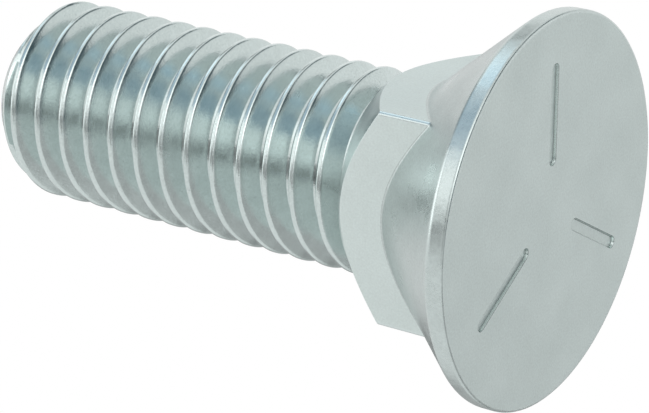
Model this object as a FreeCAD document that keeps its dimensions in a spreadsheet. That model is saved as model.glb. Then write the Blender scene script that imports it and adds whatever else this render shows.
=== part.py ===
import FreeCAD, Part
import math
import os
import Sketcher

# Plow bolt: a flat round head with a cone seat under it, a square neck and a coarse
# right-hand thread, forged and rolled as one piece. It stands on its head face,
# which is the plane Z = 0, with the shank along +Z and the neck's flats along X and Y.

os.makedirs("parts", exist_ok=True)
doc = FreeCAD.newDocument("PlowBolt")

SIZES = [
    ("OverallLength", 38.1, "head face to tip"),
    ("HeadDiameter", 24.1, "across the rim"),
    ("RimHeight", 1.05, "straight wall between the face and the seat"),
    ("SeatHalfAngle", 40.0, "degrees between the axis and the cone seat"),
    ("FaceEdgeBreak", 0.12, "chamfer between the face and the rim"),
    ("SeatEdgeBreak", 0.14, "chamfer between the rim and the seat"),
    ("NeckMargin", 0.54, "how much wider the square neck is than the thread"),
    ("NeckEdge", 3.34, "length of each corner edge of the neck"),
    ("NeckTaperAngle", 45.0, "degrees between the axis and the cone that ends the neck"),
    ("NeckCornerRound", 0.25, "rounding of the neck's four corner edges"),
    ("ThreadDiameter", 12.66, "across the crests"),
    ("ThreadPitch", 1.9538, "one turn's advance, thirteen turns to 25.4 mm"),
    ("FlankAngle", 30.0, "degrees between a flank and a plane across the axis"),
    ("RidgeSink", 0.1, "how deep the ridge's foot lies inside the core"),
    ("ShoulderStep", 0.07, "how far the neck's last edge stands out from the crests"),
    ("CrestTurn", 1.4, "turns from the ridge's hidden start to that last edge"),
    ("PointDiameter", 9.04, "flat end of the tip"),
    ("PointHalfAngle", 40.0, "degrees between the axis and the tip's chamfer"),
    ("MarkCount", 3, "grade lines on the face"),
    ("MarkInner", 2.95, "axis to the near end of a grade line"),
    ("MarkLength", 6.25, "length of a grade line"),
    ("MarkWidth", 0.75, "width of a grade line"),
    ("MarkDepth", 0.2, "depth of a grade line"),
]

sheet = doc.addObject("Spreadsheet::Sheet", "Sizes")
for row, (alias, value, note) in enumerate(SIZES, start=1):
    sheet.set(f"A{row}", note)
    sheet.set(f"B{row}", str(value))
    sheet.setAlias(f"B{row}", alias)
doc.recompute()

# Sizes that follow from the driving ones, as expressions on the sheet.
HEAD_R = "(Sizes.HeadDiameter / 2)"
CREST_R = "(Sizes.ThreadDiameter / 2)"
NECK_HALF = "((Sizes.ThreadDiameter + Sizes.NeckMargin) / 2)"
NECK_CORNER_R = f"({NECK_HALF} * sqrt(2))"
SEAT_SLOPE = "tan(Sizes.SeatHalfAngle)"
SEAT_END_R = f"({NECK_HALF} * 0.9)"
SEAT_END_Z = f"(Sizes.RimHeight + ({HEAD_R} - {SEAT_END_R}) / {SEAT_SLOPE})"

# A sharp 60 degree thread is pitch * cos(30) high; an eighth is cut off the crest's
# width and seven twenty-fourths off the height, which leaves the standard ridge.
THREAD_DEPTH = "(17 / 24 * Sizes.ThreadPitch / 2 / tan(Sizes.FlankAngle))"
CREST_HALF = "(Sizes.ThreadPitch / 16)"
ROOT_R = f"({CREST_R} - {THREAD_DEPTH})"

# The neck ends in a cone from its corners down to a last edge just outside the crests,
# and from there in a steeper cone, as steep as a flank, down to the root.
NECK_EDGE_TOP_Z = (f"(Sizes.RimHeight + ({HEAD_R} - {NECK_CORNER_R}) / {SEAT_SLOPE}"
                   " + Sizes.NeckEdge)")
SHOULDER_R = f"({CREST_R} + Sizes.ShoulderStep)"
TAPER_SLOPE = "tan(Sizes.NeckTaperAngle)"
SHOULDER_Z = f"({NECK_EDGE_TOP_Z} + ({NECK_CORNER_R} - {SHOULDER_R}) / {TAPER_SLOPE})"
NECK_TOP_R = f"({ROOT_R} * 0.97)"
NECK_TOP_Z = f"({SHOULDER_Z} + ({SHOULDER_R} - {NECK_TOP_R}) * tan(Sizes.FlankAngle))"
RIDGE_START_Z = f"({SHOULDER_Z} - Sizes.CrestTurn * Sizes.ThreadPitch)"

OUTSIDE_R = f"({NECK_CORNER_R} * 1.2)"
PAST_TIP_Z = "(Sizes.OverallLength + 2 * Sizes.ThreadPitch)"

body = doc.addObject("PartDesign::Body", "PlowBoltBody")
body.Label = "plow_bolt"


def originPlane(role):
    return next(f for f in body.Origin.OriginFeatures if f.Role == role)


def newSketch(name, role):
    sketch = body.newObject("Sketcher::SketchObject", name)
    sketch.AttachmentSupport = (originPlane(role), [""])
    sketch.MapMode = "FlatFace"
    return sketch


def bindPoint(sketch, name, geometry, end, place):
    """Ties one point to a place given as two expressions; 0 puts it on an axis."""
    for kind, axis, text in (("DistanceX", -2, place[0]), ("DistanceY", -1, place[1])):
        if text == "0":
            sketch.addConstraint(Sketcher.Constraint("PointOnObject", geometry, end, axis))
            continue
        value = float(sketch.evalExpression(text))
        made = Sketcher.Constraint(kind, -1, 1, geometry, end, value)
        index = sketch.addConstraint(made)
        sketch.renameConstraint(index, name + kind[-1])
        sketch.setExpression("Constraints." + name + kind[-1], text)


def polygonSketch(name, role, corners):
    """A closed outline; corners is a list of (name, x expression, y expression)."""
    sketch = newSketch(name, role)
    places = [(float(sketch.evalExpression(x)), float(sketch.evalExpression(y)))
              for _, x, y in corners]
    points = [FreeCAD.Vector(x, y, 0) for x, y in places]
    count = len(points)
    for i in range(count):
        sketch.addGeometry(Part.LineSegment(points[i], points[(i + 1) % count]), False)
    for i in range(count):
        sketch.addConstraint(Sketcher.Constraint("Coincident", i, 2, (i + 1) % count, 1))
    for i, (cornerName, x, y) in enumerate(corners):
        bindPoint(sketch, cornerName, i, 1, (x, y))
    return sketch


def turned(kind, name, sketch):
    """A Revolution or Groove of a sketch, all the way round the axis."""
    feature = body.newObject("PartDesign::" + kind, name)
    feature.Profile = sketch
    feature.ReferenceAxis = (sketch, ["V_Axis"])
    feature.Angle = 360
    doc.recompute()
    return feature


def edged(kind, name, size, wanted):
    """A Fillet or Chamfer on every edge of the body's present shape that wanted(edge) accepts."""
    base = body.Tip
    edges = [f"Edge{i}" for i, edge in enumerate(base.Shape.Edges, start=1) if wanted(edge)]
    feature = body.newObject("PartDesign::" + kind, name)
    feature.Base = (base, edges)
    feature.setExpression("Radius" if kind == "Fillet" else "Size", "Sizes." + size)
    doc.recompute()
    return feature


def length(text):
    return float(sheet.evalExpression(text))


# Head: a disc with a short straight rim, and the cone seat that carries on into the neck.
head = turned("Revolution", "Head", polygonSketch("HeadOutline", "XZ_Plane", [
    ("FaceCentre", "0", "0"),
    ("FaceEdge", HEAD_R, "0"),
    ("RimTop", HEAD_R, "Sizes.RimHeight"),
    ("SeatEnd", SEAT_END_R, SEAT_END_Z),
    ("SeatCentre", "0", SEAT_END_Z),
]))


def circleAt(edge, z):
    return isinstance(edge.Curve, Part.Circle) and abs(edge.CenterOfMass.z - z) < 0.01 and \
        abs(edge.Curve.Radius - length(HEAD_R)) < 0.01


edged("Chamfer", "SeatEdge", "SeatEdgeBreak",
      lambda edge: circleAt(edge, length("Sizes.RimHeight")))
edged("Chamfer", "FaceEdge", "FaceEdgeBreak", lambda edge: circleAt(edge, 0))

# Neck: a square bar standing in the seat.
neckSketch = newSketch("NeckSquare", "XY_Plane")
half = float(neckSketch.evalExpression(NECK_HALF))
square = [(-half, -half), (half, -half), (half, half), (-half, half)]
for i in range(4):
    start = FreeCAD.Vector(*square[i], 0)
    end = FreeCAD.Vector(*square[(i + 1) % 4], 0)
    neckSketch.addGeometry(Part.LineSegment(start, end), False)
for i in range(4):
    neckSketch.addConstraint(Sketcher.Constraint("Coincident", i, 2, (i + 1) % 4, 1))
for i, kind in enumerate(("Horizontal", "Vertical", "Horizontal", "Vertical")):
    neckSketch.addConstraint(Sketcher.Constraint(kind, i))
neckSketch.addConstraint(Sketcher.Constraint("Symmetric", 0, 1, 2, 1, -1, 1))
for name, line in (("Width", 0), ("Depth", 1)):
    index = neckSketch.addConstraint(Sketcher.Constraint("Distance", line, 2 * half))
    neckSketch.renameConstraint(index, name)
    neckSketch.setExpression("Constraints." + name, "Sizes.ThreadDiameter + Sizes.NeckMargin")

neck = body.newObject("PartDesign::Pad", "Neck")
neck.Profile = neckSketch
neck.setExpression("Length", NECK_TOP_Z)
doc.recompute()

edged("Fillet", "NeckCorners", "NeckCornerRound", lambda edge: isinstance(edge.Curve, Part.Line)
      and abs(edge.tangentAt(edge.FirstParameter).z) > 0.999
      and edge.CenterOfMass.x ** 2 + edge.CenterOfMass.y ** 2 > 1.9 * half ** 2)

neckEnd = turned("Groove", "NeckTaper", polygonSketch("NeckTaperOutline", "XZ_Plane", [
    ("RootEnd", NECK_TOP_R, NECK_TOP_Z),
    ("Shoulder", SHOULDER_R, SHOULDER_Z),
    ("TaperFoot", OUTSIDE_R, f"({SHOULDER_Z} - ({OUTSIDE_R} - {SHOULDER_R}) / {TAPER_SLOPE})"),
    ("OutsideTop", OUTSIDE_R, f"({NECK_TOP_Z} + 1)"),
    ("RootTop", NECK_TOP_R, f"({NECK_TOP_Z} + 1)"),
]))

# Grade lines: shallow round-ended grooves that point away from the centre of the face.
markSketch = newSketch("MarkOutline", "XY_Plane")
endRound = length("Sizes.MarkWidth / 2")
near = length("-Sizes.MarkInner - Sizes.MarkWidth / 2")
far = length("-Sizes.MarkInner - Sizes.MarkLength + Sizes.MarkWidth / 2")
up = FreeCAD.Vector(0, 0, 1)
quarter = math.pi / 2
nearEnd = Part.Circle(FreeCAD.Vector(near, 0, 0), up, endRound)
farEnd = Part.Circle(FreeCAD.Vector(far, 0, 0), up, endRound)
markSketch.addGeometry(Part.ArcOfCircle(nearEnd, -quarter, quarter), False)
markSketch.addGeometry(Part.ArcOfCircle(farEnd, quarter, 3 * quarter), False)
for begin, finish, side in ((near, far, endRound), (far, near, -endRound)):
    line = Part.LineSegment(FreeCAD.Vector(begin, side, 0), FreeCAD.Vector(finish, side, 0))
    markSketch.addGeometry(line, False)
for first, firstEnd, second, secondEnd in ((0, 2, 2, 1), (2, 2, 1, 1), (1, 2, 3, 1), (3, 2, 0, 1)):
    markSketch.addConstraint(Sketcher.Constraint("Tangent", first, firstEnd, second, secondEnd))
for arc in (0, 1):
    markSketch.addConstraint(Sketcher.Constraint("PointOnObject", arc, 3, -1))
markSketch.addConstraint(Sketcher.Constraint("Horizontal", 2))
for name, made, text in (
        ("EndRound", Sketcher.Constraint("Radius", 0, endRound), "Sizes.MarkWidth / 2"),
        ("Near", Sketcher.Constraint("DistanceX", 0, 3, -1, 1, -near),
         "Sizes.MarkInner + Sizes.MarkWidth / 2"),
        ("Far", Sketcher.Constraint("DistanceX", 1, 3, -1, 1, -far),
         "Sizes.MarkInner + Sizes.MarkLength - Sizes.MarkWidth / 2")):
    index = markSketch.addConstraint(made)
    markSketch.renameConstraint(index, name)
    markSketch.setExpression("Constraints." + name, text)

mark = body.newObject("PartDesign::Pocket", "GradeLine")
mark.Profile = markSketch
mark.Reversed = True
mark.setExpression("Length", "Sizes.MarkDepth")
doc.recompute()

marks = body.newObject("PartDesign::PolarPattern", "GradeLines")
marks.Originals = [mark]
marks.Axis = (markSketch, ["N_Axis"])
marks.Angle = 360
marks.setExpression("Occurrences", "Sizes.MarkCount")
body.Tip = marks
doc.recompute()

# Shank: a core at the root of the thread, from inside the neck to the tip.
shank = turned("Revolution", "Shank", polygonSketch("ShankOutline", "XZ_Plane", [
    ("CoreFoot", "0", SEAT_END_Z),
    ("RootFoot", ROOT_R, SEAT_END_Z),
    ("RootTip", ROOT_R, "Sizes.OverallLength"),
    ("TipCentre", "0", "Sizes.OverallLength"),
]))

# Thread: a ridge wound round the core. It starts hidden inside the neck and runs past
# the tip, where the point's chamfer cuts it off. Its foot is sunk a little into the core.
RIDGE_FOOT_R = f"({ROOT_R} - Sizes.RidgeSink)"
RIDGE_FOOT_HALF = f"({CREST_HALF} + ({THREAD_DEPTH} + Sizes.RidgeSink) * tan(Sizes.FlankAngle))"
ridgeSketch = polygonSketch("RidgeOutline", "XZ_Plane", [
    ("LowFoot", RIDGE_FOOT_R, f"({RIDGE_START_Z} - {RIDGE_FOOT_HALF})"),
    ("LowCrest", CREST_R, f"({RIDGE_START_Z} - {CREST_HALF})"),
    ("HighCrest", CREST_R, f"({RIDGE_START_Z} + {CREST_HALF})"),
    ("HighFoot", RIDGE_FOOT_R, f"({RIDGE_START_Z} + {RIDGE_FOOT_HALF})"),
])
thread = body.newObject("PartDesign::AdditiveHelix", "Thread")
thread.Profile = ridgeSketch
thread.ReferenceAxis = (ridgeSketch, ["V_Axis"])
thread.Mode = "pitch-height-angle"
thread.setExpression("Pitch", "Sizes.ThreadPitch")
thread.setExpression("Height", f"Sizes.OverallLength - {RIDGE_START_Z} + Sizes.ThreadPitch")
thread.Refine = False
doc.recompute()

# Point: the chamfer and the end face.
POINT_R = "(Sizes.PointDiameter / 2)"
POINT_FOOT_R = f"({CREST_R} + 0.5)"
POINT_FOOT_Z = f"(Sizes.OverallLength - ({POINT_FOOT_R} - {POINT_R}) / tan(Sizes.PointHalfAngle))"
point = turned("Groove", "Point", polygonSketch("PointOutline", "XZ_Plane", [
    ("EndCentre", "0", "Sizes.OverallLength"),
    ("EndEdge", POINT_R, "Sizes.OverallLength"),
    ("ChamferFoot", POINT_FOOT_R, POINT_FOOT_Z),
    ("OutsideTip", POINT_FOOT_R, PAST_TIP_Z),
    ("CentreTip", "0", PAST_TIP_Z),
]))
point.Refine = False

doc.recompute()
for feature in doc.Objects:
    if "Invalid" in feature.State or "Error" in feature.State:
        raise RuntimeError(f"{feature.Name} failed: {feature.State}")
shape = body.Shape
if shape.isNull() or not shape.isValid() or len(shape.Solids) != 1:
    raise RuntimeError("the bolt isn't one valid solid")
shape.exportStep(f"parts/{body.Label}.step")
print(body.Label, "volume", round(shape.Volume, 1), "mm3, box", shape.optimalBoundingBox())
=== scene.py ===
import math

import bmesh
import bpy
from mathutils import Matrix, Vector


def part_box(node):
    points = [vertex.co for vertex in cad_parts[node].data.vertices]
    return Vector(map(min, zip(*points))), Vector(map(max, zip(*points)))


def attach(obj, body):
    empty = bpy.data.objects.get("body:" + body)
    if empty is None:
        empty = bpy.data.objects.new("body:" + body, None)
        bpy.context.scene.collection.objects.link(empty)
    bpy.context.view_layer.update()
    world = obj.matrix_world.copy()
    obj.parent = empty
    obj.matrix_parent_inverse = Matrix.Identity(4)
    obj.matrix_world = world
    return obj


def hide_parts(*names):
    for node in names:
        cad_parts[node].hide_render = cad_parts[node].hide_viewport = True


mm = 0.001

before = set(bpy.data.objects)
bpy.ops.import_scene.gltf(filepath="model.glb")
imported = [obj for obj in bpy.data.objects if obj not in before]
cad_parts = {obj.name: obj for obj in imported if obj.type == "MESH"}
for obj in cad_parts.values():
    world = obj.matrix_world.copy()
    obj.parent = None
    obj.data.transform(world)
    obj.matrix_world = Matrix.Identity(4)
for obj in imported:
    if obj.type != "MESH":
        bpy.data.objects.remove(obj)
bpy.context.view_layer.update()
boltLow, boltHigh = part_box("plow_bolt")
boltLength = boltHigh.z - boltLow.z
headRadius = (boltHigh.x - boltLow.x) / 2
print("frame loaded, length", round(boltLength / mm, 2), "mm")


class Socket:
    # An output of a node tree, which sums, products and so on can be written with.

    def __init__(self, tree, link):
        self.tree = tree
        self.link = link

    def maths(self, operation, *others):
        return mathsNode(self.tree, operation, self, *others)

    def __add__(self, other):
        return self.maths("ADD", other)

    def __radd__(self, other):
        return mathsNode(self.tree, "ADD", other, self)

    def __sub__(self, other):
        return self.maths("SUBTRACT", other)

    def __rsub__(self, other):
        return mathsNode(self.tree, "SUBTRACT", other, self)

    def __mul__(self, other):
        return self.maths("MULTIPLY", other)

    def __rmul__(self, other):
        return mathsNode(self.tree, "MULTIPLY", other, self)

    def __truediv__(self, other):
        return self.maths("DIVIDE", other)

    def __rtruediv__(self, other):
        return mathsNode(self.tree, "DIVIDE", other, self)


def feed(tree, target, value):
    # Links a Socket to a node's input, or sets the input to a constant.
    if isinstance(value, Socket):
        tree.links.new(value.link, target)
    else:
        target.default_value = value


def addNode(tree, kind, settings, values, output=0):
    # Makes a node: its settings first, then its inputs by name or number; gives one output.
    node = tree.nodes.new(kind)
    for name, value in settings.items():
        setattr(node, name, value)
    for name, value in values.items():
        feed(tree, node.inputs[name], value)
    return Socket(tree, node.outputs[output]) if node.outputs else None


def mathsNode(tree, operation, *values):
    return addNode(tree, "ShaderNodeMath", {"operation": operation}, dict(enumerate(values)))


def splitVector(tree, vector):
    node = addNode(tree, "ShaderNodeSeparateXYZ", {}, {0: vector}).link.node
    return [Socket(tree, output) for output in node.outputs]


def joinVector(tree, x, y, z):
    return addNode(tree, "ShaderNodeCombineXYZ", {}, {"X": x, "Y": y, "Z": z})


# Shank and thread

pointSizes = {
    "endRadius": 4.54 * mm,
    "halfAngle": math.radians(45),
    "endRound": 0.1 * mm,
    "clearance": 0.02 * mm,  # how far the thread's own cone stands inside the cut
    "foot": 8.6 * mm,
    "outside": 7.5 * mm,
    "columns": 256,
    "bendSteps": 4,
    "straightParts": (0.5, 1.0),
    "sharpAngle": math.radians(32),
}
threadSizes = {
    "Pitch": 1.9538 * mm,
    "Crest Radius": 6.36 * mm,
    "Root Radius": 5.131 * mm,
    "Crest Width": 0.26 * mm,
    "Crest Softness": 0.16 * mm,
    "Root Softness": 0.3 * mm,
    "Flank Slope": 1 / math.tan(math.radians(30)),
    "Point Height": boltLength,
    "Point Radius": pointSizes["endRadius"] - pointSizes["clearance"],
    "Point Slope": math.tan(pointSizes["halfAngle"]),
    "Point Softness": 0.4 * mm,
    "Start Height": 7.8 * mm,
    "Turns": 17,
    "Rows Per Turn": 24,
    "Columns": 192,
    "Crowding": 0.62,
    "Merge Distance": 0.001 * mm,
}


def threadTree():
    # Wraps a grid round the axis as a helical ridge: rows follow the thread, columns the axis.
    tree = bpy.data.node_groups.new("helicalThread", "GeometryNodeTree")
    for name, value in threadSizes.items():
        kind = "NodeSocketInt" if isinstance(value, int) else "NodeSocketFloat"
        item = tree.interface.new_socket(name, in_out="INPUT", socket_type=kind)
        item.default_value = value
    tree.interface.new_socket("Finish", in_out="INPUT", socket_type="NodeSocketMaterial")
    tree.interface.new_socket("Geometry", in_out="OUTPUT", socket_type="NodeSocketGeometry")
    given = addNode(tree, "NodeGroupInput", {}, {}).link.node
    size = {output.name: Socket(tree, output) for output in given.outputs if output.name}

    grid = addNode(tree, "GeometryNodeMeshGrid", {}, {
        "Size X": 1.0, "Size Y": 1.0, "Vertices X": size["Columns"] + 1.0,
        "Vertices Y": size["Turns"] * size["Rows Per Turn"] + 1.0})
    x, y, _ = splitVector(tree, addNode(tree, "GeometryNodeInputPosition", {}, {}))
    around = x + 0.5
    along = (y + 0.5) * size["Turns"]

    # The rows crowd together at the crest. Offset is the distance from the crest, in metres.
    crowded = along - size["Crowding"] / math.tau * (along * math.tau).maths("SINE")
    offset = (crowded - crowded.maths("ROUND")).maths("ABSOLUTE") * size["Pitch"]
    flank = size["Crest Radius"] - (offset - size["Crest Width"] / 2.0) * size["Flank Slope"]
    ridge = flank.maths("SMOOTH_MIN", size["Crest Radius"], size["Crest Softness"])
    thread = ridge.maths("SMOOTH_MAX", size["Root Radius"], size["Root Softness"])
    height = size["Start Height"] + size["Pitch"] * (crowded + around)
    # The ridge is worn down towards the point before the point is cut.
    point = size["Point Radius"] + (size["Point Height"] - height) * size["Point Slope"]
    radius = thread.maths("SMOOTH_MIN", point, size["Point Softness"])
    angle = around * math.tau

    wrapped = joinVector(tree, radius * angle.maths("COSINE"), radius * angle.maths("SINE"), height)
    moved = addNode(tree, "GeometryNodeSetPosition", {}, {"Geometry": grid, "Position": wrapped})
    closed = addNode(tree, "GeometryNodeMergeByDistance", {},
                     {"Geometry": moved, "Distance": size["Merge Distance"]})
    real = addNode(tree, "GeometryNodeRealizeInstances", {}, {"Geometry": closed})
    finished = addNode(tree, "GeometryNodeSetMaterial", {},
                       {"Geometry": real, "Material": size["Finish"]})
    addNode(tree, "NodeGroupOutput", {}, {"Geometry": finished})
    return tree


def plainMesh(maker, name):
    # The evaluated mesh of an object as a plain mesh; the object and its modifiers go.
    depsgraph = bpy.context.evaluated_depsgraph_get()
    mesh = bpy.data.meshes.new_from_object(maker.evaluated_get(depsgraph), depsgraph=depsgraph)
    mesh.name = name
    bpy.data.objects.remove(maker)
    return mesh


def newObject(name, mesh):
    made = bpy.data.objects.new(name, mesh)
    bpy.context.scene.collection.objects.link(made)
    return made


def turnedMesh(name, outline, columns):
    # A closed solid turned from an outline of (radius, height) that starts and ends on the axis.
    mesh = bpy.data.meshes.new(name)
    shape = bmesh.new()
    rings = []
    for radius, height in outline[1:-1]:
        rings.append([shape.verts.new((radius * math.cos(a), radius * math.sin(a), height))
                      for a in (math.tau * i / columns for i in range(columns))])
    low, high = (shape.verts.new((0, 0, outline[i][1])) for i in (0, -1))
    for i in range(columns):
        j = (i + 1) % columns
        shape.faces.new((rings[0][j], rings[0][i], low))
        shape.faces.new((rings[-1][i], rings[-1][j], high))
        for lower, upper in zip(rings, rings[1:]):
            shape.faces.new((lower[i], lower[j], upper[j], upper[i]))
    shape.to_mesh(mesh)
    shape.free()
    return mesh


mostOfSide = 0.45


def roundedPath(corners, bendSteps, stretch):
    # Points along a line whose corners (x, y, radius) are rounded; stretch gives where the
    # points of each straight part lie, from 0 to 1. A bend takes less than half of each side.
    places = [Vector(corner[:2]) for corner in corners]
    path = [places[0]]
    for before, here, after, corner in zip(places, places[1:], places[2:], corners[1:]):
        back, ahead = before - here, after - here
        turn = math.pi - back.angle(ahead)
        room = mostOfSide * min(back.length, ahead.length)
        cut = min(corner[2] * math.tan(turn / 2), room)
        start = here + back.normalized() * cut
        end = here + ahead.normalized() * cut
        last = path[-1]
        path += [last.lerp(start, part) for part in stretch]
        for step in range(1, bendSteps + 1):
            part = step / bendSteps
            path.append(start.lerp(here, part).lerp(here.lerp(end, part), part))
    last = path[-1]
    path += [last.lerp(places[-1], part) for part in stretch]
    return path


def shankMesh(finish):
    # The threaded shank, cut to its point.
    ridge = newObject("ridge", bpy.data.meshes.new("ridge"))
    modifier = ridge.modifiers.new("thread", "NODES")
    modifier.node_group = threadTree()
    for item in modifier.node_group.interface.items_tree:
        if item.in_out == "INPUT":
            modifier[item.identifier] = threadSizes.get(item.name, finish)
    ridge = newObject("ridge", plainMesh(ridge, "ridge"))
    shape = bmesh.new()
    shape.from_mesh(ridge.data)
    edges = [edge for edge in shape.edges if edge.is_boundary]
    bmesh.ops.holes_fill(shape, edges=edges, sides=0)
    bmesh.ops.recalc_face_normals(shape, faces=shape.faces)
    shape.to_mesh(ridge.data)
    shape.free()

    endRadius = pointSizes["endRadius"]
    outside = pointSizes["outside"]
    coneFoot = boltLength - (outside - endRadius) / math.tan(pointSizes["halfAngle"])
    outline = [(0, pointSizes["foot"]), (outside, pointSizes["foot"]), (outside, coneFoot)]
    cone = roundedPath([(*outline[-1], 0), (endRadius, boltLength, pointSizes["endRound"]),
                        (0, boltLength, 0)], pointSizes["bendSteps"], pointSizes["straightParts"])
    envelope = newObject("envelope", turnedMesh(
        "envelope", outline + [tuple(point) for point in cone[1:]], pointSizes["columns"]))
    cutting = ridge.modifiers.new("point", "BOOLEAN")
    cutting.operation = "INTERSECT"
    cutting.solver = "EXACT"
    cutting.object = envelope
    mesh = plainMesh(ridge, "shank")
    bpy.data.objects.remove(envelope)
    for polygon in mesh.polygons:
        polygon.material_index = zones.index("thread")
        polygon.use_smooth = True
    mesh.set_sharp_from_angle(angle=pointSizes["sharpAngle"])
    return mesh


# Head and neck

headSizes = {
    "rimHeight": 1.05 * mm,
    "seatHalfAngle": math.radians(40),
    "faceRound": 0.22 * mm,
    "seatRound": 0.5 * mm,
    "seamRound": 0.35 * mm,
    "columnsPerQuarter": 64,
    "crowding": 0.15,
    "bendSteps": 5,
    "straightParts": (0.04, 0.2, 0.5, 0.8, 0.96, 1.0),
}
neckSizes = {
    "acrossFlats": 13.36 * mm,
    "cornerRound": 0.25 * mm,
    "cornerEdge": 3.47 * mm,
    "shoulderRadius": 6.4 * mm,
    "shoulderRound": 0.12 * mm,
    "taperRound": 0.1 * mm,
    "insideRadius": 4.9 * mm,
    "insideSlope": math.tan(math.radians(30)),
}


def turnFromFlat(angle):
    # Angle between a direction and the middle of the nearest flat.
    return abs((angle + math.pi / 4) % (math.pi / 2) - math.pi / 4)


def isCorner(angle):
    # True where the neck's outline bends round a corner.
    half = neckSizes["acrossFlats"] / 2
    return half * math.tan(turnFromFlat(angle)) > half - neckSizes["cornerRound"]


def squareRadius(angle):
    # Distance from the axis to the round-cornered square neck in one direction.
    half = neckSizes["acrossFlats"] / 2
    inner = half - neckSizes["cornerRound"]
    turned = turnFromFlat(angle)
    if not isCorner(angle):
        return half / math.cos(turned)
    reach = inner * (math.cos(turned) + math.sin(turned))
    return reach + math.sqrt(reach ** 2 - 2 * inner ** 2 + neckSizes["cornerRound"] ** 2)


def headColumn(angle):
    # The outline of head and neck in one direction, from the face's edge to inside the shank.
    # The neck's taper stands at 45 degrees.
    rim = headSizes["rimHeight"]
    slope = math.tan(headSizes["seatHalfAngle"])
    cornerRadius = squareRadius(math.pi / 4)
    edgeTop = rim + (headRadius - cornerRadius) / slope + neckSizes["cornerEdge"]
    shoulderHeight = edgeTop + cornerRadius - neckSizes["shoulderRadius"]
    radius = squareRadius(angle)
    insideDepth = neckSizes["shoulderRadius"] - neckSizes["insideRadius"]
    insideHeight = shoulderHeight + insideDepth * neckSizes["insideSlope"]
    corners = [
        (headRadius - 2 * headSizes["faceRound"], 0, 0),
        (headRadius, 0, headSizes["faceRound"]),
        (headRadius, rim, headSizes["seatRound"]),
        (radius, rim + (headRadius - radius) / slope, headSizes["seamRound"]),
        (radius, edgeTop + cornerRadius - radius, neckSizes["taperRound"]),
        (neckSizes["shoulderRadius"], shoulderHeight, neckSizes["shoulderRound"]),
        (neckSizes["insideRadius"], insideHeight, 0),
    ]
    return roundedPath(corners, headSizes["bendSteps"], headSizes["straightParts"])


def headAngles():
    # Column directions, crowded at the neck's four corners.
    count = headSizes["columnsPerQuarter"]
    crowding = headSizes["crowding"]
    for quarter in range(4):
        for i in range(count):
            part = 2 * i / count - 1
            bent = crowding * part + (1 - crowding) * part ** 3
            yield (quarter + 0.5 + bent / 2) * math.pi / 2


# Grade lines

markSizes = {
    "count": 3,
    "firstAngle": math.pi,
    "inner": 2.95 * mm,
    "length": 6.25 * mm,
    "width": 0.75 * mm,
    "depth": 0.19 * mm,
    "lipRound": 0.035 * mm,
    "footRound": 0.035 * mm,
    "footInset": 0.04 * mm,
    "endSteps": 12,
    "bendSteps": 4,
}


def markRings():
    # For each grade line, rings of points from the face down to its floor.
    half = markSizes["width"] / 2
    depth = markSizes["depth"]
    inset = markSizes["footInset"]
    section = roundedPath([
        (half + 2 * markSizes["lipRound"], 0, 0),
        (half, 0, markSizes["lipRound"]),
        (half - inset, depth, markSizes["footRound"]),
        (half - inset - 2 * markSizes["footRound"], depth, 0),
    ], markSizes["bendSteps"], (1.0,))
    steps = markSizes["endSteps"]
    near = markSizes["inner"] + half
    far = markSizes["inner"] + markSizes["length"] - half
    for index in range(markSizes["count"]):
        direction = markSizes["firstAngle"] + math.tau * index / markSizes["count"]
        turned = Matrix.Rotation(direction, 3, "Z")
        rings = []
        for width, height in section:
            ring = []
            for centre, first in ((far, -math.pi / 2), (near, math.pi / 2)):
                for step in range(steps + 1):
                    angle = first + math.pi * step / steps
                    ring.append(turned @ Vector((centre + width * math.cos(angle),
                                                 width * math.sin(angle), height)))
            rings.append(ring)
        yield rings


zones = ("face", "rim", "seat", "flat", "taper", "thread", "grooveShade", "grooveHighlight", "edge")


def headMesh():
    # Head and neck as one skin: the face with its grade lines, the rim, seat, flats and taper.
    shape = bmesh.new()
    columns = []
    angles = list(headAngles())
    for angle in angles:
        columns.append([shape.verts.new((r * math.cos(angle), r * math.sin(angle), z))
                        for r, z in headColumn(angle)])
    count = len(columns)
    rows = len(columns[0])
    bend = headSizes["bendSteps"]
    straight = len(headSizes["straightParts"])
    # Rows where one zone's finish gives way to the next; the taper's starts within a bend.
    faceEnd = straight
    rimEnd = 2 * straight + 2 * bend
    # The seam's hollow rounding takes the seat's darker tone, a painted shade that dims the highlight
    # along the seam.
    seatEnd = 3 * straight + 3 * bend
    flatEnd = 4 * straight + 4 * bend - 2
    for i in range(count):
        left, right = columns[i], columns[(i + 1) % count]
        for row in range(rows - 1):
            made = shape.faces.new((left[row], right[row], right[row + 1], left[row + 1]))
            zone = sum(row >= end for end in (faceEnd, rimEnd, seatEnd, flatEnd))
            if zone == zones.index("flat") and isCorner(angles[i]):
                zone = zones.index("edge")
            made.material_index = zone
            made.smooth = True
    inside = shape.faces.new([column[-1] for column in columns])
    inside.material_index = zones.index("thread")
    edges = [shape.edges.get((columns[i][0], columns[(i + 1) % count][0])) for i in range(count)]
    for rings in markRings():
        made = [[shape.verts.new(place) for place in ring] for ring in rings]
        size = len(made[0])
        # The walls get a painted highlight, lighter than the face, and the lip and foot roundings on
        # either side a painted shade, dark.
        lastRow = len(made) - 2
        wallRow = lastRow // 2
        rowZones = {0: "face", wallRow: "grooveHighlight", lastRow: "face"}
        for row, (upper, lower) in enumerate(zip(made, made[1:])):
            for i in range(size):
                j = (i + 1) % size
                side = shape.faces.new((upper[i], upper[j], lower[j], lower[i]))
                side.smooth = True
                side.material_index = zones.index(rowZones.get(row, "grooveShade"))
        shape.faces.new(made[-1])
        edges += [shape.edges.get((made[0][i], made[0][(i + 1) % size])) for i in range(size)]
    bmesh.ops.triangle_fill(shape, use_beauty=True, edges=edges, normal=(0, 0, -1))
    bmesh.ops.recalc_face_normals(shape, faces=shape.faces)
    mesh = bpy.data.meshes.new("head")
    shape.to_mesh(mesh)
    shape.free()
    return mesh


# Finishes, with painted light and shade in some zones

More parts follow.
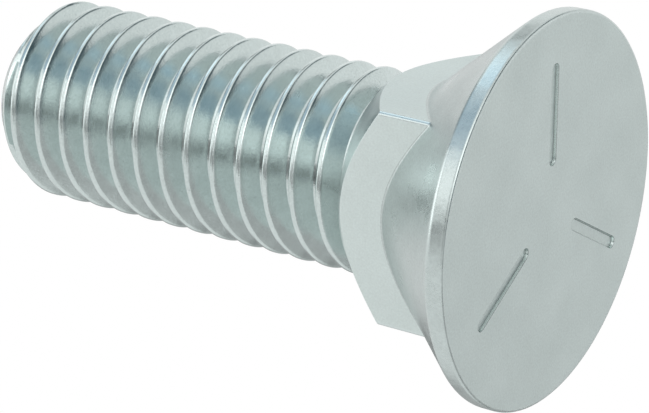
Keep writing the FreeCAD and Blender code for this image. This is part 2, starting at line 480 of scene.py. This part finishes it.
zincSizes = {
    # tone is each zone's base colour. The zones share one zinc plating, and the flats' lighter
    # tone and the seat's darker one are in part painted light and shade. patch, mottle and grain
    # are how far it strays from that over a few millimetres, a millimetre and a tenth of one.
    # polish is how far the roughness strays. dimple and wave are the heights of small and wide
    # bumps. speck is how much of the tone the dark specks take away.
    "face": {"tone": (0.541, 0.606, 0.594), "roughness": 0.5, "patch": 0.04, "mottle": 0.05,
             "grain": 0.17, "polish": 0.06, "dimple": 1.6e-6, "wave": 4e-6, "speck": 0.04},
    "rim": {"tone": (0.5, 0.563, 0.553), "roughness": 0.28, "patch": 0.05, "mottle": 0.12,
            "grain": 0.16, "polish": 0.08, "dimple": 1.4e-6, "wave": 6e-6, "speck": 0.0},
    "seat": {"tone": (0.463, 0.517, 0.508), "roughness": 0.31, "patch": 0.1, "mottle": 0.08,
             "grain": 0.24, "polish": 0.1, "dimple": 1.0e-6, "wave": 4e-6, "speck": 0.04},
    "flat": {"tone": (0.607, 0.675, 0.66), "roughness": 0.5, "patch": 0.04, "mottle": 0.05,
             "grain": 0.12, "polish": 0.05, "dimple": 2.0e-6, "wave": 5e-6, "speck": 0.03},
    "edge": {"tone": (0.59, 0.66, 0.65), "roughness": 0.28, "patch": 0.04, "mottle": 0.05,
             "grain": 0.06, "polish": 0.08, "dimple": 1.6e-6, "wave": 6e-6, "speck": 0.0},
    "taper": {"tone": (0.53, 0.60, 0.59), "roughness": 0.36, "patch": 0.08, "mottle": 0.14,
              "grain": 0.15, "polish": 0.16, "dimple": 2.0e-6, "wave": 8e-6, "speck": 0.1},
    "thread": {"tone": (0.558, 0.63, 0.62), "roughness": 0.2, "patch": 0.05, "mottle": 0.08,
               "grain": 0.15, "polish": 0.1, "dimple": 2.4e-6, "wave": 3e-6, "speck": 0.16},
    # The grade lines' lip and foot roundings take a painted shade, and their walls a painted highlight.
    "grooveShade": {"tone": (0.33, 0.38, 0.37), "roughness": 0.22, "patch": 0.03, "mottle": 0.05,
             "grain": 0.04, "polish": 0.06, "dimple": 0.8e-6, "wave": 2e-6, "speck": 0.0},
    "grooveHighlight": {"tone": (0.6, 0.67, 0.655), "roughness": 0.26, "patch": 0.03, "mottle": 0.05,
             "grain": 0.04, "polish": 0.06, "dimple": 0.8e-6, "wave": 2e-6, "speck": 0.0},
}
patternSizes = {
    "grain": {"Scale": 7500.0, "Detail": 2.0, "Roughness": 0.6},
    "mottle": {"Scale": 1300.0, "Detail": 3.0, "Roughness": 0.6},
    "patch": {"Scale": 260.0, "Detail": 2.0, "Roughness": 0.5},
    "wave": {"Scale": 1500.0, "Detail": 1.0, "Roughness": 0.5},
}
speckSizes = {
    "perMetre": 2300.0,
    "reach": 0.06,
    "soft": 0.08,
}


def noise(tree, place, name):
    # Noise that strays to either side of zero.
    made = addNode(tree, "ShaderNodeTexNoise", {}, {"Vector": place, **patternSizes[name]})
    return made * 2.0 - 1.0


def zincMaterial(zone):
    # Zinc-plated steel, one material for each zone: fine grain, cloudy patches, specks, gloss. Some
    # zones' tones hold painted light and shade.
    facts = zincSizes[zone]
    material = bpy.data.materials.new(zone + "Zinc")
    material.use_nodes = True
    tree = material.node_tree
    shader = tree.nodes["Principled BSDF"]
    shader.inputs["Metallic"].default_value = 1.0
    place = addNode(tree, "ShaderNodeTexCoord", {}, {}, "Object")
    grain, mottle, patch, wave = (noise(tree, place, name) for name in patternSizes)
    dots = addNode(tree, "ShaderNodeTexVoronoi", {}, {
        "Vector": place, "Scale": speckSizes["perMetre"]})
    speck = addNode(tree, "ShaderNodeMapRange", {"interpolation_type": "SMOOTHSTEP"}, {
        "Value": dots, "From Min": speckSizes["reach"] + speckSizes["soft"],
        "From Max": speckSizes["reach"]})
    light = 1.0 + patch * facts["patch"] + mottle * facts["mottle"] + grain * facts["grain"]
    light = light * (1.0 - speck * facts["speck"])
    tone = addNode(tree, "ShaderNodeVectorMath", {"operation": "SCALE"},
                   {0: facts["tone"], "Scale": light})
    gloss = facts["roughness"] + (mottle - patch) * facts["polish"]
    relief = grain * facts["dimple"] + wave * facts["wave"]
    bump = addNode(tree, "ShaderNodeBump", {}, {
        "Strength": 1.0, "Distance": 1.0, "Height": relief})
    feed(tree, shader.inputs["Base Color"], tone)
    feed(tree, shader.inputs["Roughness"], gloss)
    feed(tree, shader.inputs["Normal"], bump)
    return material


zoneMaterials = [zincMaterial(zone) for zone in zones]
shank = shankMesh(zoneMaterials[zones.index("thread")])
print("shank made,", len(shank.polygons), "faces")
head = headMesh()
print("head made,", len(head.polygons), "faces")


def joined(name, meshes):
    # One mesh from several, with their material numbers kept.
    shape = bmesh.new()
    for mesh in meshes:
        shape.from_mesh(mesh)
    whole = bpy.data.meshes.new(name)
    shape.to_mesh(whole)
    shape.free()
    return whole


bolt = newObject("boltFinish", joined("boltFinish", (head, shank)))
for finish in zoneMaterials:
    bolt.data.materials.append(finish)
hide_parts("plow_bolt")
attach(bolt, "root")
print("bolt joined and dressed")

# Camera: the photo's viewing angle, from below the head's plane.

cameraSizes = {
    "place": Vector((-59.67, 132.21, -73.88)) * mm,
    "right": Vector((-0.0021, -0.5628, -0.8266)),
    "down": Vector((0.9306, 0.3014, -0.2075)),
    "lens": 153.97,
    "sensor": 36,
    "halfPixel": 0.5 / 649,
    "nearest": 0.01,
    "farthest": 10,
}


def addCamera():
    data = bpy.data.cameras.new("photoCamera")
    data.lens = cameraSizes["lens"]
    data.sensor_width = cameraSizes["sensor"]
    data.shift_x = -cameraSizes["halfPixel"]
    data.shift_y = cameraSizes["halfPixel"]
    data.clip_start = cameraSizes["nearest"]
    data.clip_end = cameraSizes["farthest"]
    camera = newObject("photoCamera", data)
    right = cameraSizes["right"].normalized()
    up = -(cameraSizes["down"] - cameraSizes["down"].dot(right) * right).normalized()
    back = right.cross(up)
    turned = Matrix((right, up, back)).transposed()
    camera.matrix_world = Matrix.Translation(cameraSizes["place"]) @ turned.to_4x4()
    bpy.context.scene.camera = camera
    return camera


camera = addCamera()
print("camera placed")


# Studio: soft lamps and dim flags. Each stands at an angle seen from the bolt: turn is
# degrees right of the camera, rise is degrees above it, and wide and high are its own angles.

studioSizes = {
    "distance": 0.6,
    "lookAt": Vector((0, 0, boltLength / 2)),
    "worldLevel": 1.0,
    "floorTone": (0.9, 0.9, 0.9),
    "floorRadius": 0.45,
    "floorFade": 0.3,
    "floorDrop": 0.02 * mm,
    "floorColumns": 96,
    "flagFade": 0.4,
}
white = (1, 1, 1)
lampSizes = {
    "key": {"turn": 6, "rise": 20, "wide": 56, "high": 50, "level": 0.5, "colour": white},
    "keyCore": {"turn": 10, "rise": 12, "wide": 28, "high": 28, "level": 0.9, "colour": white},
    "side": {"turn": -96, "rise": 12, "wide": 30, "high": 30, "level": 1.1, "colour": white},
    "strip": {"turn": -57, "rise": 15, "wide": 20, "high": 28, "level": 0.54, "colour": white},
    "top": {"turn": -104, "rise": 70, "wide": 28, "high": 20, "level": 0.62, "colour": (0.55, 0.82, 1)},
    "back": {"turn": 176, "rise": 42, "wide": 40, "high": 22, "level": 0.1, "colour": white},
    "patch": {"turn": 100, "rise": 10, "wide": 26, "high": 20, "level": 0.2, "colour": white},
}
# cloth is the flag's own dim colour, and dark is how much of the light behind it stops.
greyCloth = (0.02, 0.03, 0.03)
blueCloth = (0.02, 0.06, 0.08)
flagSizes = {
    "right": {"turn": 53, "rise": 10, "wide": 38, "high": 84, "dark": 0.94, "cloth": blueCloth},
    "high": {"turn": 88, "rise": 47, "wide": 64, "high": 24, "dark": 0.95, "cloth": blueCloth},
    "low": {"turn": 0, "rise": -25, "wide": 96, "high": 18, "dark": 0.55, "cloth": greyCloth},
    "lowLeft": {"turn": -28, "rise": -14, "wide": 24, "high": 28, "dark": 0.8, "cloth": greyCloth},
    "gap": {"turn": -64, "rise": -11, "wide": 30, "high": 17, "dark": 0.62, "cloth": greyCloth},
    "left": {"turn": -118, "rise": 34, "wide": 44, "high": 30, "dark": 0.6,
             "cloth": (0.05, 0.1, 0.12)},
    "leftHigh": {"turn": -72, "rise": 44, "wide": 80, "high": 36, "dark": 0.55,
                 "cloth": (0.22, 0.46, 0.68)},
    "sky": {"turn": -48, "rise": 72, "wide": 30, "high": 20, "dark": 0.7,
            "cloth": (0.75, 0.98, 1.2)},
    "behindHigh": {"turn": -165, "rise": 64, "wide": 24, "high": 14, "dark": 0.6, "cloth": greyCloth},
    "under": {"turn": 87, "rise": -42, "wide": 84, "high": 38, "dark": 0.48, "cloth": greyCloth},
    "rear": {"turn": 180, "rise": -2, "wide": 50, "high": 34, "dark": 0.6, "cloth": greyCloth},
    "behind": {"turn": 168, "rise": -25, "wide": 76, "high": 66, "dark": 0.5, "cloth": greyCloth},
}


def studioPlace(camera, facts):
    # The turned and moved matrix of something that faces the bolt.
    turn, rise = math.radians(facts["turn"]), math.radians(facts["rise"])
    right, up, back = (camera.matrix_world.to_3x3().col[i] for i in range(3))
    away = math.cos(rise) * (math.sin(turn) * right + math.cos(turn) * back) + math.sin(rise) * up
    across = (math.cos(turn) * right - math.sin(turn) * back).normalized()
    over = away.cross(across)
    turned = Matrix((across, over, away)).transposed().to_4x4()
    place = studioSizes["lookAt"] + away * studioSizes["distance"]
    return Matrix.Translation(place) @ turned


def studioSpan(facts):
    return [2 * studioSizes["distance"] * math.tan(math.radians(facts[name]) / 2)
            for name in ("wide", "high")]


def addLamp(camera, name, facts):
    data = bpy.data.lights.new(name + "Lamp", "AREA")
    data.shape = "RECTANGLE"
    data.size, data.size_y = studioSpan(facts)
    data.energy = facts["level"] * math.pi * data.size * data.size_y
    data.color = facts["colour"]
    lamp = newObject(name + "Lamp", data)
    lamp.matrix_world = studioPlace(camera, facts)
    lamp.visible_camera = False


def flagMaterial(name, facts):
    # The flag's own colour in the middle, and clear towards the edges.
    material = bpy.data.materials.new(name + "FlagCloth")
    material.use_nodes = True
    tree = material.node_tree
    tree.nodes.clear()
    place = addNode(tree, "ShaderNodeTexCoord", {}, {}, "UV")
    x, y, _ = splitVector(tree, place)
    cover = facts["dark"]
    for part in (x, y):
        nearness = 1.0 - (part * 2.0 - 1.0).maths("ABSOLUTE")
        cover = addNode(tree, "ShaderNodeMapRange", {"interpolation_type": "SMOOTHSTEP"},
                        {"Value": nearness, "From Max": studioSizes["flagFade"]}) * cover
    clear = addNode(tree, "ShaderNodeBsdfTransparent", {}, {})
    cloth = addNode(tree, "ShaderNodeEmission", {}, {"Color": (*facts["cloth"], 1)})
    mixed = addNode(tree, "ShaderNodeMixShader", {}, {0: cover, 1: clear, 2: cloth})
    addNode(tree, "ShaderNodeOutputMaterial", {}, {"Surface": mixed})
    return material


def addFlag(camera, name, facts):
    wide, high = studioSpan(facts)
    matrix = studioPlace(camera, facts)
    corners = [(-1, -1), (1, -1), (1, 1), (-1, 1)]
    mesh = bpy.data.meshes.new(name + "Flag")
    mesh.from_pydata([matrix @ Vector((x * wide / 2, y * high / 2, 0)) for x, y in corners], [],
                     [(0, 1, 2, 3)])
    places = mesh.uv_layers.new(name="UVMap").data
    for i, (x, y) in enumerate(corners):
        places[i].uv = ((x + 1) / 2, (y + 1) / 2)
    mesh.materials.append(flagMaterial(name, facts))
    flag = newObject(name + "Flag", mesh)
    flag.visible_camera = False


def addFloor():
    # A pale disc just under the head face, clear from below and towards its edge.
    mesh = bpy.data.meshes.new("floor")
    shape = bmesh.new()
    bmesh.ops.create_circle(shape, cap_ends=True, segments=studioSizes["floorColumns"],
                            radius=studioSizes["floorRadius"])
    for corner in shape.verts:
        corner.co.z = -studioSizes["floorDrop"]
    bmesh.ops.recalc_face_normals(shape, faces=shape.faces)
    shape.to_mesh(mesh)
    shape.free()
    if mesh.polygons[0].normal.z < 0:
        mesh.flip_normals()
    material = bpy.data.materials.new("floorPaper")
    material.use_nodes = True
    tree = material.node_tree
    tree.nodes.clear()
    place = addNode(tree, "ShaderNodeTexCoord", {}, {}, "Object")
    reach = addNode(tree, "ShaderNodeVectorMath", {"operation": "LENGTH"}, {0: place}, "Value")
    fade = addNode(tree, "ShaderNodeMapRange", {"interpolation_type": "SMOOTHSTEP"}, {
        "Value": reach, "From Min": studioSizes["floorRadius"] - studioSizes["floorFade"],
        "From Max": studioSizes["floorRadius"]})
    below = addNode(tree, "ShaderNodeNewGeometry", {}, {}, "Backfacing")
    paper = addNode(tree, "ShaderNodeBsdfDiffuse", {}, {"Color": (*studioSizes["floorTone"], 1)})
    clear = addNode(tree, "ShaderNodeBsdfTransparent", {}, {})
    mixed = addNode(tree, "ShaderNodeMixShader", {},
                    {0: fade.maths("MAXIMUM", below), 1: paper, 2: clear})
    addNode(tree, "ShaderNodeOutputMaterial", {}, {"Surface": mixed})
    mesh.materials.append(material)
    floor = newObject("floor", mesh)
    floor.visible_glossy = False
    floor.visible_diffuse = False
    floor.visible_transmission = False
    floor.visible_shadow = False


def addWorld():
    # White for camera, mirror and glass rays, and an even level of light for the rest.
    world = bpy.data.worlds.new("studio")
    world.use_nodes = True
    bpy.context.scene.world = world
    tree = world.node_tree
    rays = addNode(tree, "ShaderNodeLightPath", {}, {}).link.node
    seen = 0.0
    for name in ("Is Camera Ray", "Is Glossy Ray", "Is Transmission Ray"):
        seen = Socket(tree, rays.outputs[name]).maths("MAXIMUM", seen)
    strength = seen * (1.0 - studioSizes["worldLevel"]) + studioSizes["worldLevel"]
    background = tree.nodes["Background"]
    background.inputs["Color"].default_value = (1, 1, 1, 1)
    feed(tree, background.inputs["Strength"], strength)


for name, facts in lampSizes.items():
    addLamp(camera, name, facts)
for name, facts in flagSizes.items():
    addFlag(camera, name, facts)
addFloor()
addWorld()
print("studio made,", len(lampSizes), "lamps and", len(flagSizes), "flags")
bpy.context.scene.view_settings.view_transform = "Standard"
